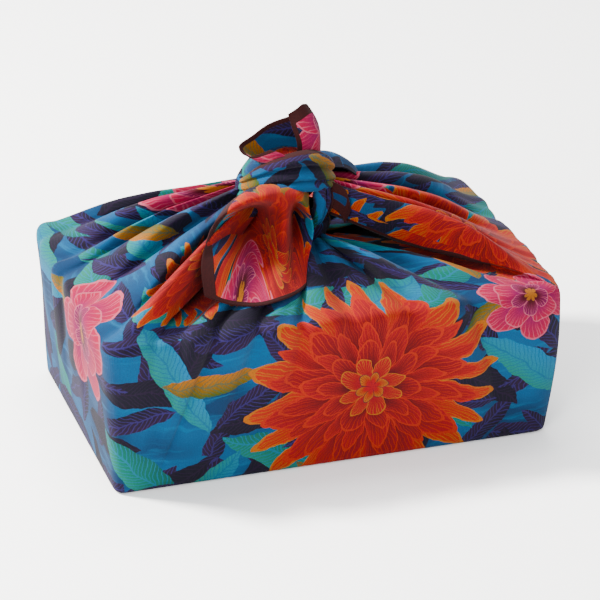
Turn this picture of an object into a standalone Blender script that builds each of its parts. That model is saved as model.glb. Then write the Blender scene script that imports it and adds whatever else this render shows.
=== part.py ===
# Furoshiki wrap: one square cloth folded round a plain box and tied on top with two crossed knots.
# Origin at the centre of the underside, +X along the length, the front faces -Y, +Z up.
import math
import bpy
import bmesh
import numpy as np

for item in list(bpy.data.objects):
    bpy.data.objects.remove(item, do_unlink=True)

MM = 0.001

# Overall sizes of the wrapped box, outside the cloth
LENGTH = 0.263
DEPTH = 0.159
HEIGHT = 0.096
FLARE = 0.005
CLOTH = 0.0018
CORNER_RADIUS = 0.006
FOOT_RADIUS = 0.003
EDGE_RADIUS = 0.006

# Box inside the cloth
BOX_GAP = 0.0003
BOX_TOP_CLEARANCE = 0.0022
BOX_BEVEL = 0.0055

SIDES = (LENGTH, DEPTH, LENGTH, DEPTH)
SIDE_NORMAL = ((0, -1), (1, 0), (0, 1), (-1, 0))
SIDE_ALONG = ((1, 0), (0, 1), (-1, 0), (0, -1))

WALL_LEVELS = (0.42, 0.74)
TOP_STEPS = (0.08, 0.17, 0.30, 0.46, 0.63, 0.81, 1.0)
TUCK_DROP = 0.010
TUCK_UNDER = (0.005, 0.012)
FOLD_STEPS = (0.0, 0.25, 0.5, 0.75)

# One row per fold, in mm: width at the box edge and at the knot, height half way and at the box edge,
# sideways lean of the ridge, and how far down the wall the fold still shows
FOLD_FIELDS = ("edge", "knot", "height", "rim", "lean", "reach")

# Each strip is the part of the cloth gathered to one corner. start is the place along the outline where
# it begins, in sides counted from the front left corner. knot is where it goes into the knots, in mm from
# the middle of the box top, and across is the way the folds lie side by side there. arch and sag are how
# far the folds drop beside the knot and at the strip's edges. closed is how far the hem is held shut.
STRIPS = {
    "front": {
        "start": 0.142,
        "knot": (5.0, -7.0, 17.0),
        "across": (1, 0, 0),
        "arch": 4.0,
        "sag": (1.0, 1.0),
        "closed": (0.0, 0.0),
        "folds": (
            (20, 4, 7.0, 4.5, -0.3, 60),
            (24, 4, 4.0, 1.6, 0.2, 70),
            (28, 3, 3.0, 0.8, 0.0, 14),
            (26, 3, 3.4, 1.0, 0.1, 12),
            (25, 3, 2.5, 0.6, 0.0, 10),
            (34, 5, 9.0, 5.0, 0.3, 52),
            (54, 5, 2.0, 0.4, 0.0, 12),
        ),
    },
    "right": {
        "start": 1.022,
        "knot": (8.0, 6.0, 48.0),
        "across": (0, 1, 0),
        "arch": 5.0,
        "sag": (1.0, 1.0),
        "closed": (0.09, 0.09),
        "folds": (
            (15, 8, 12.0, 1.5, -0.2, 12),
            (20, 4, 6.0, 1.2, 0.0, 20),
            (32, 3, 6.0, 1.6, 0.1, 30),
            (30, 3, 6.5, 1.8, 0.0, 26),
            (36, 4, 8.5, 2.2, 0.1, 32),
            (48, 4, 7.0, 1.5, 0.1, 20),
        ),
    },
    "back": {
        "start": 2.155,
        "knot": (4.0, 10.0, 17.0),
        "across": (-1, 0, 0),
        "arch": 4.0,
        "sag": (2.0, 2.0),
        "closed": (0.0, 0.0),
        "folds": (
            (30, 4, 4.0, 1.5, 0.1, 30),
            (28, 4, 5.0, 2.0, 0.0, 22),
            (34, 4, 4.0, 1.0, 0.2, 26),
            (30, 4, 6.0, 2.4, 0.1, 40),
            (40, 4, 5.0, 1.4, 0.0, 20),
            (36, 4, 4.0, 1.8, 0.2, 30),
        ),
    },
    "left": {
        "start": 2.955,
        "knot": (-21.0, 6.0, 49.0),
        "across": (-0.25, -0.95, 0),
        "arch": 3.0,
        "sag": (1.0, 1.0),
        "closed": (0.09, 0.18),
        "folds": (
            (24, 3, 5.0, 2.0, 0.1, 30),
            (34, 4, 8.5, 2.4, 0.2, 45),
            (18, 3, 6.5, 3.0, 0.1, 66),
            (38, 4, 9.5, 3.0, 0.2, 60),
            (48, 5, 10.0, 2.6, 0.3, 40),
            (32, 5, 10.0, 3.0, 0.3, 34),
        ),
    },
}
ORDER = ("front", "right", "back", "left")

# How far a fold line drifts sideways per mm down the wall, read between these places on the outline
DRIFT = (
    (0.0, 0.0), (0.11, -0.18), (0.20, -0.34), (0.23, -0.40), (0.40, -0.18), (0.60, 0.20),
    (0.70, 0.66), (0.84, 0.30), (1.0, 0.0), (1.3, 0.06), (1.7, -0.06), (2.0, 0.0),
    (2.3, 0.12), (2.7, -0.12), (3.0, 0.0), (3.3, -0.10), (3.6, 0.08), (4.0, 0.0),
)
# How far the walls swell out half way up, in mm, read between these places on the outline
SWELL = (
    (0.0, 0.3), (0.5, 1.0), (0.93, 2.6), (1.0, 3.0), (1.1, 2.2),
    (2.0, 0.4), (3.0, 0.3), (3.5, 0.9), (4.0, 0.3),
)


def outline(place, outset):
    """Point and outward direction on the rounded outline of the wrapped box."""
    side = int(math.floor(place)) % 4
    length = SIDES[side]
    run = (place - math.floor(place)) * length
    normal = np.array(SIDE_NORMAL[side], float)
    along = np.array(SIDE_ALONG[side], float)
    half = np.array((LENGTH / 2, DEPTH / 2))
    middle = normal * half
    start = middle - along * length / 2
    radius = CORNER_RADIUS
    if run < radius:
        turn = -(1 - run / radius) * math.pi / 4
        centre = start + along * radius - normal * radius
    elif length - run < radius:
        turn = (1 - (length - run) / radius) * math.pi / 4
        centre = start + along * (length - radius) - normal * radius
    else:
        turn = 0.0
        centre = start + along * run - normal * radius
    facing = normal * math.cos(turn) + along * math.sin(turn)
    spot = centre + facing * (radius + outset)
    return spot, facing


def read_table(table, place):
    return float(np.interp(place % 4.0, [row[0] for row in table], [row[1] for row in table]))


def drifted(place, depth):
    """Place on the outline of a fold line that drifts as it runs down the wall."""
    drift = read_table(DRIFT, place)
    run = depth if drift < 0 else depth * (1 - 0.5 * depth / HEIGHT)
    return place + drift * run / SIDES[int(place) % 4]


def smooth(value):
    value = min(max(value, 0.0), 1.0)
    return value * value * (3 - 2 * value)


def strip_columns(name):
    """Columns of one gathered strip, from its first fold line to its last."""
    strip = STRIPS[name]
    rows = [dict(zip(FOLD_FIELDS, row)) for row in strip["folds"]]
    knot_width = sum(row["knot"] for row in rows)
    edge_run = strip["start"]
    knot_run = 0.0
    columns = []
    count = len(rows)
    total_edge = sum(row["edge"] for row in rows)
    edge_done = 0.0
    place = edge_run
    for number, row in enumerate(rows):
        for step in fold_steps(place, row["edge"] * MM):
            here = advance(place, row["edge"] * step * MM)
            columns.append(make_column(strip, row, step, here, knot_run + row["knot"] * step, knot_width,
                                       (edge_done + row["edge"] * step) / total_edge))
        place = advance(place, row["edge"] * MM)
        knot_run += row["knot"]
        edge_done += row["edge"]
    columns.append(make_column(strip, rows[-1], 1.0, place, knot_run, knot_width, 1.0))
    return columns


def fold_steps(place, width):
    """Where the columns of one fold stand, with extra ones round a corner of the box that the fold wraps."""
    steps = list(FOLD_STEPS)
    corner = math.ceil(place)
    to_corner = (corner - place) * SIDES[int(math.floor(place)) % 4]
    extra = [(to_corner + shift) / width for shift in (-CORNER_RADIUS, 0.0, CORNER_RADIUS)]
    extra = [step for step in extra if 0.04 < step < 0.96]
    steps = [step for step in steps if step == 0.0 or all(abs(step - other) > 0.09 for other in extra)]
    return sorted(steps + extra)


def advance(place, distance):
    """Move along the outline by a distance, over corners too."""
    while distance > 1e-9:
        side = int(math.floor(place)) % 4
        left = (math.floor(place) + 1 - place) * SIDES[side]
        if distance < left:
            return place + distance / SIDES[side]
        distance -= left
        place = math.floor(place) + 1.0
    return place


def make_column(strip, row, step, place, knot_run, knot_width, share):
    across = np.array(strip["across"], float)
    side = 2 * knot_run / knot_width - 1
    knot = np.array(strip["knot"], float)
    knot = knot + across * (knot_run - knot_width / 2) - np.array((0, 0, strip["arch"] * side * side))
    sag = strip["sag"][0] * max(0.0, 1 - share * 6) + strip["sag"][1] * max(0.0, 1 - (1 - share) * 6)
    return {
        "place": place, "knot": knot * MM + np.array((0, 0, HEIGHT)), "wave": math.sin(math.pi * step) ** 0.8,
        "height": row["height"] * MM, "rim": row["rim"] * MM, "lean": row["lean"], "reach": row["reach"] * MM,
        "narrow": row["knot"] * MM, "sag": sag * MM, "kind": "fold", "hollow": 0.0,
        "pull": -0.9 if share < 0.5 else 0.9, "closed": strip["closed"][0 if share < 0.5 else 1],
    }


def tuck_columns(upper, lower, upper_first):
    """Cloth turned under a draped roll: a flap under the roll, then the layer that lies below it.

    upper is the roll's own edge column, lower the first or last column of the strip below.
    """
    span = (lower["place"] - upper["place"] + 2) % 4 - 2
    hollow = 1.0 if upper_first else -1.0
    side = horizontal_side(upper, hollow)
    flap = dict(upper)
    flap.update(kind="flap", wave=0.0, hollow=hollow, place=upper["place"] + span * 0.18)
    flap["knot"] = upper["knot"] + side * 1.5 * MM
    under = dict(lower)
    under.update(kind="under", wave=0.0, hollow=hollow, place=upper["place"] + span * 0.40, sag=0.0)
    gap = float((lower["knot"] - upper["knot"]).dot(side))
    covered = min(max(gap + TUCK_UNDER[1], TUCK_UNDER[0]), TUCK_UNDER[1])
    under["knot"] = lower["knot"] - side * covered - np.array((0, 0, 2 * MM))
    flap["room"] = float(upper["knot"][2] - under["knot"][2])
    floor = dict(lower)
    floor.update(kind="floor", wave=0.0, place=upper["place"] + span * 0.7, sag=0.0)
    floor["knot"] = under["knot"] * 0.5 + lower["knot"] * 0.5
    columns = [flap, under, floor]
    return columns if upper_first else columns[::-1]


def horizontal_side(column, hollow):
    """Level direction square to a column's line, pointing to the hollow beside the roll."""
    spot, facing = outline(column["place"], 0.0)
    line = column["knot"][:2] - spot
    line = line / np.linalg.norm(line)
    return np.array((line[1], -line[0], 0.0)) * hollow


def sheet_columns():
    strips = {name: strip_columns(name) for name in ORDER}
    front, right, back, left = (strips[name] for name in ORDER)
    for column, hollow in ((right[0], -1.0), (right[-1], 1.0), (left[0], -1.0), (left[-1], 1.0)):
        column["kind"] = "roll"
        column["hollow"] = hollow
    columns = list(front)
    columns += tuck_columns(right[0], front[-1], False)
    columns += right
    columns += tuck_columns(right[-1], back[0], True)
    columns += back
    columns += tuck_columns(left[0], back[-1], False)
    columns += left
    columns += tuck_columns(left[-1], front[0], True)
    return columns


def wall_levels():
    """Rows of (height, inset, upward turn of the surface) from the underside to the top edge."""
    rows = [(0.0, FOOT_RADIUS, -1.0), (FOOT_RADIUS * 0.6, FOOT_RADIUS * 0.08, -0.3)]
    rows += [(HEIGHT * level, 0.0, 0.0) for level in WALL_LEVELS]
    rows += [(HEIGHT - EDGE_RADIUS, 0.0, 0.05), (HEIGHT - EDGE_RADIUS * 0.3, EDGE_RADIUS * 0.3, 0.7)]
    rows.append((HEIGHT, EDGE_RADIUS, 1.4))
    return rows


def column_points(column):
    """Outer points and smooth outward directions of one column, from the underside up to the knot."""
    points = []
    facings = []
    for height, inset, rise in wall_levels():
        depth = max(HEIGHT - height, 0.0)
        fade = max(0.0, 1 - depth / max(column["reach"], 0.004))
        swell = column["rim"] * column["wave"] * fade
        place = drifted(column["place"], depth)
        if depth >= HEIGHT - FOOT_RADIUS:
            swell = 0.0
        flare = FLARE * (height / HEIGHT) ** 0.9
        flare += read_table(SWELL, place) * MM * math.sin(math.pi * (height / HEIGHT) ** 1.2)
        spot, facing = outline(place, flare - inset + swell)
        lift = swell * 0.7 if inset > 0 and height > HEIGHT / 2 else 0.0
        points.append(np.array((spot[0], spot[1], height + lift)))
        normal = np.array((facing[0], facing[1], rise))
        if rise <= -1.0:
            normal = np.array((0.0, 0.0, -1.0))
        facings.append(normal / np.linalg.norm(normal))
    spot, facing = outline(column["place"], FLARE - EDGE_RADIUS)
    start = np.array((spot[0], spot[1], HEIGHT))
    line = column["knot"] - start
    level = line.copy()
    level[2] = 0.0
    reach = np.linalg.norm(level)
    upward = np.array((0, 0, 1.0)) * reach - level / reach * line[2]
    upward /= np.linalg.norm(upward)
    across = np.array((level[1], -level[0], 0.0)) / reach
    hollow = across * column["hollow"]
    for step in TOP_STEPS:
        crest = column["height"] if step < 0.55 else column["height"] * (1 - (step - 0.55) / 0.45)
        crest += column["narrow"] * 0.35 * smooth((step - 0.55) / 0.45)
        swell = column["wave"] * (column["rim"] + (crest - column["rim"]) * smooth(step / 0.42))
        if step > 0.55:
            swell = column["wave"] * crest
        droop = column["sag"] * math.sin(math.pi * step) ** 2 * (1 - 0.4 * column["wave"])
        droop *= smooth(step / 0.35)
        point = start + line * step + upward * swell + across * column["lean"] * swell
        point += across * column["pull"] * droop
        point[2] -= droop
        turned = smooth((step - 0.12) / 0.5)
        if column["kind"] == "flap":
            room = column["room"] * step - droop - 2 * CLOTH
            point[2] -= min(TUCK_DROP * turned, max(room * 0.6, 0.0))
        points.append(point)
        if column["kind"] == "roll":
            normal = upward + hollow * 0.6 * turned
        elif column["kind"] == "flap":
            normal = upward * (1 - turned * 0.9) + hollow * turned
        else:
            normal = upward
        facings.append(normal / np.linalg.norm(normal))
    return points, facings


def build_sheet():
    """The wrapped cloth: an outer skin of columns and an inner skin one cloth thickness inside it."""
    columns = sheet_columns()
    grid = []
    facing = []
    for column in columns:
        points, facings = column_points(column)
        grid.append(points)
        facing.append(facings)
    outer = np.array(grid)
    facing = np.array(facing)
    inner = outer - facing * CLOTH
    count, levels = outer.shape[:2]
    wall = len(wall_levels())
    mesh = bmesh.new()
    skins = []
    for skin in (outer, inner):
        skins.append([[mesh.verts.new(point) for point in column] for column in skin])
    for side, skin in enumerate(skins):
        for c in range(count):
            n = (c + 1) % count
            pair = (columns[c], columns[n])
            slit = {column["kind"] for column in pair} == {"flap", "under"}
            limit = [column["closed"] for column in pair if column["kind"] == "flap"]
            for k in range(levels - 1):
                if slit and k >= wall - 1 and TOP_STEPS[k - wall + 1] > limit[0]:
                    continue
                face = [skin[c][k], skin[n][k], skin[n][k + 1], skin[c][k + 1]]
                mesh.faces.new(face if side == 0 else face[::-1])
        base = [skin[c][0] for c in range(count)]
        mesh.faces.new(base[::-1] if side == 0 else base)
    twin = {}
    for c in range(count):
        for k in range(levels):
            twin[skins[0][c][k]] = skins[1][c][k]
    rim = [edge for edge in mesh.edges if len(edge.link_faces) == 1 and edge.verts[0] in twin
           and edge.verts[1] in twin]
    for edge in rim:
        loop = edge.link_loops[0]
        a = loop.vert
        b = loop.link_loop_next.vert
        mesh.faces.new((b, a, twin[a], twin[b]))
    return finish_mesh("furoshiki", mesh, False)


def finish_mesh(name, mesh, turn_outward=True):
    if turn_outward:
        bmesh.ops.recalc_face_normals(mesh, faces=mesh.faces)
    bmesh.ops.triangulate(mesh, faces=mesh.faces)
    data = bpy.data.meshes.new(name)
    mesh.to_mesh(data)
    mesh.free()
    for face in data.polygons:
        face.use_smooth = True
    item = bpy.data.objects.new(name, data)
    bpy.context.scene.collection.objects.link(item)
    return item


def blend_rows(rows, count):
    """Points on smooth curves through the rows, count of them in all."""
    rows = np.asarray(rows, float)
    total = len(rows) - 1
    out = []
    for number in range(count):
        at = total * number / (count - 1)
        k = min(int(at), total - 1)
        f = at - k
        before = rows[max(k - 1, 0)]
        a = rows[k]
        b = rows[k + 1]
        after = rows[min(k + 2, total)]
        out.append(0.5 * (2 * a + (b - before) * f + (2 * before - 5 * a + 4 * b - after) * f ** 2
                          + (3 * a - before - 3 * b + after) * f ** 3))
    return np.array(out)


def build_flap(name, fields, table, across, along, thickness):
    """A free piece of cloth from a short table with a row per section and a column per named line."""
    rows = [dict(zip(fields, row)) for row in table]
    sections = np.array([blend_rows([row[field] for field in fields], along) for row in rows])
    grid = np.array([blend_rows(sections[:, k], across) for k in range(along)])
    grid = grid * MM + np.array((0, 0, HEIGHT))
    du = np.gradient(grid, axis=0)
    dv = np.gradient(grid, axis=1)
    normal = np.cross(du, dv)
    normal /= np.linalg.norm(normal, axis=2)[:, :, None] + 1e-12
    mesh = bmesh.new()
    skins = []
    for shift in (0.5, -0.5):
        skins.append([[mesh.verts.new(point) for point in row] for row in grid + normal * thickness * shift])
    rows, cols = grid.shape[:2]
    for side, skin in enumerate(skins):
        for i in range(rows - 1):
            for j in range(cols - 1):
                face = [skin[i][j], skin[i + 1][j], skin[i + 1][j + 1], skin[i][j + 1]]
                mesh.faces.new(face if side == 0 else face[::-1])
    border = [(i, 0) for i in range(rows)] + [(rows - 1, j) for j in range(1, cols)]
    border += [(i, cols - 1) for i in range(rows - 2, -1, -1)] + [(0, j) for j in range(cols - 2, 0, -1)]
    for number, (i, j) in enumerate(border):
        m, n = border[(number + 1) % len(border)]
        mesh.faces.new((skins[0][i][j], skins[0][m][n], skins[1][m][n], skins[1][i][j]))
    return finish_mesh(name, mesh)


def build_core(name, centre, radii, swells, tilt):
    """Rounded heart of a knot, a ball with folds running round it."""
    mesh = bmesh.new()
    bmesh.ops.create_uvsphere(mesh, u_segments=16, v_segments=9, radius=1.0)
    for vert in mesh.verts:
        x, y, z = vert.co
        angle = math.atan2(y, x)
        swell = 1 + swells * math.sin(5 * z + 1.3 * math.sin(angle) + 0.7) * (1 - z * z)
        px = x * radii[0] * swell
        pz = z * radii[2] * swell
        turned = (px * math.cos(tilt) - pz * math.sin(tilt), y * radii[1] * swell,
                  px * math.sin(tilt) + pz * math.cos(tilt))
        vert.co = [turned[k] * MM + centre[k] * MM + (HEIGHT if k == 2 else 0.0) for k in range(3)]
    return finish_mesh(name, mesh)


# Band over the front of the upper knot. A row per section from left to right, in mm above the box top.
BAND_FIELDS = ("x", "y", "z", "half", "tip", "deep")
FRONT_BAND = (
    (-32, 7, 46, 6, 0.2, 10),
    (-33, -3, 49, 8, 0.3, 11),
    (-28, -12, 55, 9.5, 0.4, 11),
    (-16, -18, 61, 11.5, 0.5, 11),
    (-1, -18, 62.5, 12.5, 0.5, 11),
    (11, -13, 59, 11.5, 0.4, 11),
    (18, -4, 52, 9, 0.3, 11),
    (18, 7, 46, 7, 0.2, 10),
)
BACK_BAND = (
    (20, 0, 45, 6, -0.2, 7),
    (19, 11, 48, 9, -0.3, 8),
    (9, 20, 53, 11, -0.4, 8),
    (-6, 23, 55, 11.5, -0.5, 8),
    (-20, 18, 52, 10, -0.4, 8),
    (-31, 8, 47, 8, -0.3, 8),
    (-34, 0, 44, 6, -0.2, 7),
)
# Band that comes down from the right end of the front band and turns under it
RETURN_BAND = (
    (11, -11, 58, 7, 0.0, 6),
    (11, -16, 50, 8, 0.0, 6),
    (11, -18, 41, 7.5, 0.0, 6),
    (9, -17, 32, 6, 0.0, 6),
    (5, -13, 24, 5, 0.0, 6),
)


def build_band(name, table, upright, ridges, sections):
    """Closed band with folds along it. upright bands run round the knot, others run down it."""
    rows = [dict(zip(BAND_FIELDS, row)) for row in table]
    path = blend_rows([(r["x"], r["y"], r["z"], r["half"], r["tip"], r["deep"]) for r in rows], sections)
    centre = np.array((-7.0, 3.0))
    mesh = bmesh.new()
    rings = []
    steps = 11
    tangents = np.gradient(path[:, :3], axis=0)
    for number, row in enumerate(path):
        along = tangents[number] / np.linalg.norm(tangents[number])
        out = np.array((row[0] - centre[0], row[1] - centre[1], 0.0))
        out /= np.linalg.norm(out)
        if upright:
            up = np.array((0.0, 0.0, 1.0)) - out * abs(row[4])
            up -= along * up.dot(along)
            up /= np.linalg.norm(up)
            out = np.cross(along, up)
            if out[0] * (row[0] - centre[0]) + out[1] * (row[1] - centre[1]) < 0:
                out = -out
        else:
            up = np.cross(out, along)
            up /= np.linalg.norm(up)
            out = np.cross(along, up)
            if out[1] > 0:
                out = -out
        ring = []
        for k in range(steps):
            q = k / (steps - 1) * 2 - 1
            fold = abs(math.sin(math.pi * ridges * (q + 1) / 2 + 0.35 * math.sin(number * 0.9)))
            swell = (1 - q * q) ** 0.5 * 3.0 + 1.6 * fold ** 0.7 * (1 - q ** 6)
            ring.append(row[:3] + up * row[3] * q + out * (swell - 1.0))
        for q in (0.75, 0.0, -0.75):
            ring.append(row[:3] + up * row[3] * q - out * row[5])
        rings.append([mesh.verts.new(point * MM + np.array((0, 0, HEIGHT))) for point in ring])
    for a, b in zip(rings[:-1], rings[1:]):
        for k in range(len(a)):
            n = (k + 1) % len(a)
            mesh.faces.new((a[k], a[n], b[n], b[k]))
    mesh.faces.new(rings[0])
    mesh.faces.new(rings[-1][::-1])
    return finish_mesh(name, mesh)


# Free ends of the cloth. Each row is one section across the tail and each column one line along it, from
# where the tail comes out of the knot to its hem, as (x, y, z) in mm from the middle of the box top.
DRAPED_FIELDS = ("root", "rise", "crest", "turn", "fall", "hem")
STANDING_FIELDS = ("root", "low", "high", "hem")
FRONT_TAIL = (
    ((-26, -8, 48), (-42, -18, 51), (-57, -32, 48), (-67, -44, 42), (-75, -56, 31), (-76, -66, 16)),
    ((-20, -8, 52), (-36, -22, 57), (-47, -37, 55), (-50, -31, 42), (-60, -56, 29), (-62, -71, 11)),
    ((-14, -8, 52), (-24, -22, 58), (-33, -35, 55), (-31, -17, 36), (-39, -48, 20), (-46, -73, 9)),
    ((-8, -8, 52), (-13, -22, 57), (-18, -32, 53), (-20, -33, 41), (-24, -46, 23), (-31, -70, 9)),
    ((-2, -8, 50), (-5, -20, 53), (-8, -27, 49), (-6, -16, 34), (-14, -40, 20), (-20, -64, 9)),
    ((3, -8, 46), (1, -18, 48), (-1, -25, 42), (0, -31, 31), (-7, -43, 19), (-13, -58, 10)),
)
UP_BLADE = (
    ((-4, -5, 58), (-3, -8, 74), (-6, -7, 85), (-8, -5, 93)),
    ((2, -7, 58), (2, -10, 74), (0, -9, 86), (-3, -5, 96)),
    ((8, -6, 58), (9, -8, 74), (7, -8, 86), (1, -4, 98)),
    ((12, -2, 58), (13, -2, 72), (11, -2, 84), (4, -2, 97)),
)
UP_WING = (
    ((-2, 3, 58), (-2, 4, 70), (-4, 3, 82), (-6, 2, 91)),
    ((-8, 5, 58), (-10, 6, 68), (-13, 6, 78), (-15, 4, 85)),
    ((-14, 2, 58), (-19, 4, 65), (-23, 4, 73), (-26, 3, 79)),
    ((-18, -3, 58), (-24, -3, 64), (-30, -1, 70), (-36, -1, 75)),
    ((-14, -9, 58), (-19, -12, 64), (-25, -10, 68), (-32, -6, 70)),
    ((-5, -12, 60), (-8, -15, 68), (-14, -14, 73), (-20, -11, 75)),
)
BACK_TAIL = (
    ((8, 4, 46), (18, 6, 58), (31, 8, 59), (40, 12, 50), (46, 20, 36), (54, 30, 27)),
    ((8, 10, 48), (18, 14, 61), (30, 18, 63), (41, 22, 53), (48, 30, 37), (58, 44, 22)),
    ((6, 18, 47), (14, 24, 59), (25, 30, 60), (34, 36, 49), (40, 44, 33), (50, 60, 17)),
    ((2, 22, 42), (8, 30, 52), (16, 38, 52), (24, 44, 42), (30, 52, 28), (36, 62, 17)),
)
SIDE_TAIL = (
    ((7, -3, 49), (18, -8, 48), (25, -11, 45), (27, -11, 40)),
    ((7, -4, 43), (18, -10, 42), (26, -13, 38), (28, -13, 33)),
    ((6, -4, 37), (16, -9, 35), (23, -12, 30), (25, -12, 25)),
)


def join(base, parts):
    for part in parts:
        part.hide_render = True
        part.display_type = "WIRE"
        union = base.modifiers.new("Union " + part.name, "BOOLEAN")
        union.operation = "UNION"
        union.solver = "EXACT"
        union.object = part


def build_box():
    half_x = LENGTH / 2 - CLOTH - BOX_GAP
    half_y = DEPTH / 2 - CLOTH - BOX_GAP
    low = CLOTH + BOX_GAP
    high = HEIGHT - CLOTH - BOX_TOP_CLEARANCE
    mesh = bmesh.new()
    bmesh.ops.create_cube(mesh, size=1.0)
    for vert in mesh.verts:
        vert.co.x *= 2 * half_x
        vert.co.y *= 2 * half_y
        vert.co.z = low if vert.co.z < 0 else high
    item = finish_mesh("box", mesh)
    for face in item.data.polygons:
        face.use_smooth = False
    bevel = item.modifiers.new("Rounded edges", "BEVEL")
    bevel.width = BOX_BEVEL
    bevel.segments = 3
    bevel.limit_method = "ANGLE"
    return item


def paint(item, name, colour, roughness):
    material = bpy.data.materials.new(name)
    material.use_nodes = True
    shader = material.node_tree.nodes["Principled BSDF"]
    shader.inputs["Base Color"].default_value = (*colour, 1.0)
    shader.inputs["Roughness"].default_value = roughness
    item.data.materials.clear()
    item.data.materials.append(material)


cloth = build_sheet()
pieces = [
    build_core("upper_knot", (-7, 3, 52), (24, 18, 18), 0.05, 0.0),
    build_core("lower_knot", (4, 1, 22), (17, 20, 15), 0.05, 0.0),
    build_band("front_band", FRONT_BAND, True, 3, 12),
    build_band("back_band", BACK_BAND, True, 3, 10),
    build_band("return_band", RETURN_BAND, False, 2, 7),
    build_flap("front_tail", DRAPED_FIELDS, FRONT_TAIL, 13, 12, CLOTH),
    build_flap("up_blade", STANDING_FIELDS, UP_BLADE, 6, 7, CLOTH),
    build_flap("up_wing", STANDING_FIELDS, UP_WING, 9, 7, CLOTH),
    build_flap("back_tail", DRAPED_FIELDS, BACK_TAIL, 7, 11, CLOTH),
    build_flap("side_tail", STANDING_FIELDS, SIDE_TAIL, 4, 6, CLOTH),
]
join(cloth, pieces)
box = build_box()

paint(cloth, "cloth", (0.020, 0.145, 0.330), 0.85)
paint(box, "box", (0.016, 0.014, 0.013), 0.6)
for piece in pieces:
    paint(piece, "cloth " + piece.name, (0.020, 0.145, 0.330), 0.85)
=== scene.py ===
import math

import bmesh
import bpy
import numpy as np
from mathutils import Matrix, Vector


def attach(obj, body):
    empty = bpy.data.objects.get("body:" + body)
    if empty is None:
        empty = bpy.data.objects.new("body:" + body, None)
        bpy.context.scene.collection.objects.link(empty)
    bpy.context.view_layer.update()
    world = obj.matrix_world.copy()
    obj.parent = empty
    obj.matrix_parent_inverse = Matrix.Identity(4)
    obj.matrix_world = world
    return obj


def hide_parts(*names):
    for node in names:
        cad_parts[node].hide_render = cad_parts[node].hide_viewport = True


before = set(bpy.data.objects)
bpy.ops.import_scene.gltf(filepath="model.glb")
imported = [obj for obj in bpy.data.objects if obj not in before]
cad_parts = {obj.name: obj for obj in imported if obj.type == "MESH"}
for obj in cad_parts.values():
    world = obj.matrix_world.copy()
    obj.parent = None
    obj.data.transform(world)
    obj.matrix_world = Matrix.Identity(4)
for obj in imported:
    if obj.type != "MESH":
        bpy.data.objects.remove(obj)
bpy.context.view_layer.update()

mm = 0.001
scene = bpy.context.scene
print("frame loaded:", sorted(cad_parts))


# Camera and light

camera = {
    "turn": -19.07, "rise": 26.78, "roll": 1.255,  # degrees
    "distance": 1.7574, "target": (-0.02194, -0.07355, 0.10592), "clip": (0.05, 20),  # metres
    "lens": 187.9, "sensor": 36,  # mm
}
turn = math.radians(camera["turn"])
rise = math.radians(camera["rise"])
roll = math.radians(camera["roll"])
back = Vector((math.sin(turn) * math.cos(rise), -math.cos(turn) * math.cos(rise), math.sin(rise)))
right = Vector((0, 0, 1)).cross(back).normalized()
up = back.cross(right)
camRight = right * math.cos(roll) + up * math.sin(roll)
camUp = up * math.cos(roll) - right * math.sin(roll)
camObject = bpy.data.objects.new("camera", bpy.data.cameras.new("camera"))
scene.collection.objects.link(camObject)
turnMatrix = Matrix((camRight, camUp, back)).transposed().to_4x4()
stand = Vector(camera["target"]) + back * camera["distance"]
camObject.matrix_world = Matrix.Translation(stand) @ turnMatrix
camObject.data.lens = camera["lens"]
camObject.data.sensor_width = camera["sensor"]
camObject.data.clip_start, camObject.data.clip_end = camera["clip"]
scene.camera = camObject

lights = {
    # name: place and size in metres, power in watts, colour
    "key": ((-1.15, 0.55, 1.35), 0.30, 150.0, (1.0, 0.985, 0.96)),
    "fill": ((-1.30, -1.50, 0.95), 0.8, 46.0, (0.98, 0.985, 1.0)),
    "top": ((0.1, 0.5, 1.9), 0.9, 34.0, (1.0, 1.0, 1.0)),
}
aimAt = Vector((0, 0, 0.06))
room = {"colour": (0.95, 0.965, 1.0, 1), "strength": 1.6}
for name, (place, size, power, colour) in lights.items():
    lamp = bpy.data.lights.new(name, "AREA")
    lamp.size = size
    lamp.energy = power
    lamp.color = colour
    lampObject = bpy.data.objects.new(name, lamp)
    scene.collection.objects.link(lampObject)
    lampObject.location = place
    lampObject.rotation_euler = (aimAt - Vector(place)).to_track_quat("-Z", "Y").to_euler()

world = bpy.data.worlds.new("studio")
scene.world = world
world.use_nodes = True
world.node_tree.nodes["Background"].inputs["Color"].default_value = room["colour"]
world.node_tree.nodes["Background"].inputs["Strength"].default_value = room["strength"]
print("camera and lights set")


# Small tools


def linear(code):
    # sRGB hex to linear red, green, blue
    value = np.array([int(code[k:k + 2], 16) for k in (1, 3, 5)]) / 255
    return (*np.where(value <= 0.04045, value / 12.92, ((value + 0.055) / 1.055) ** 2.4).tolist(), 1.0)


def smooth(value):
    value = np.clip(value, 0.0, 1.0)
    return value * value * (3 - 2 * value)


def through(points, count):
    # Catmull-Rom curve through the rows of points (first axis), read at count even steps
    points = np.asarray(points, float)
    last = len(points) - 1
    at = np.linspace(0, last, count)
    k = np.minimum(at.astype(int), last - 1)
    f = (at - k).reshape((-1,) + (1,) * (points.ndim - 1))
    before, a, b = points[np.maximum(k - 1, 0)], points[k], points[k + 1]
    after = points[np.minimum(k + 2, last)]
    return 0.5 * (2 * a + (b - before) * f + (2 * before - 5 * a + 4 * b - after) * f ** 2
                  + (3 * a - before - 3 * b + after) * f ** 3)


def waves(x, y, seed, count=7, low=0.6, high=2.4):
    # sum of sines in seeded directions, about -1 to 1, for uneven cloth
    random = np.random.default_rng(seed)
    total = np.zeros(np.broadcast(x, y).shape)
    for kx, ky, phase in zip(random.uniform(-high, high, count), random.uniform(low, high, count),
                             random.uniform(0, 2 * math.pi, count)):
        total = total + np.sin(kx * x + ky * y + phase)
    return total / count ** 0.5


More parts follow.
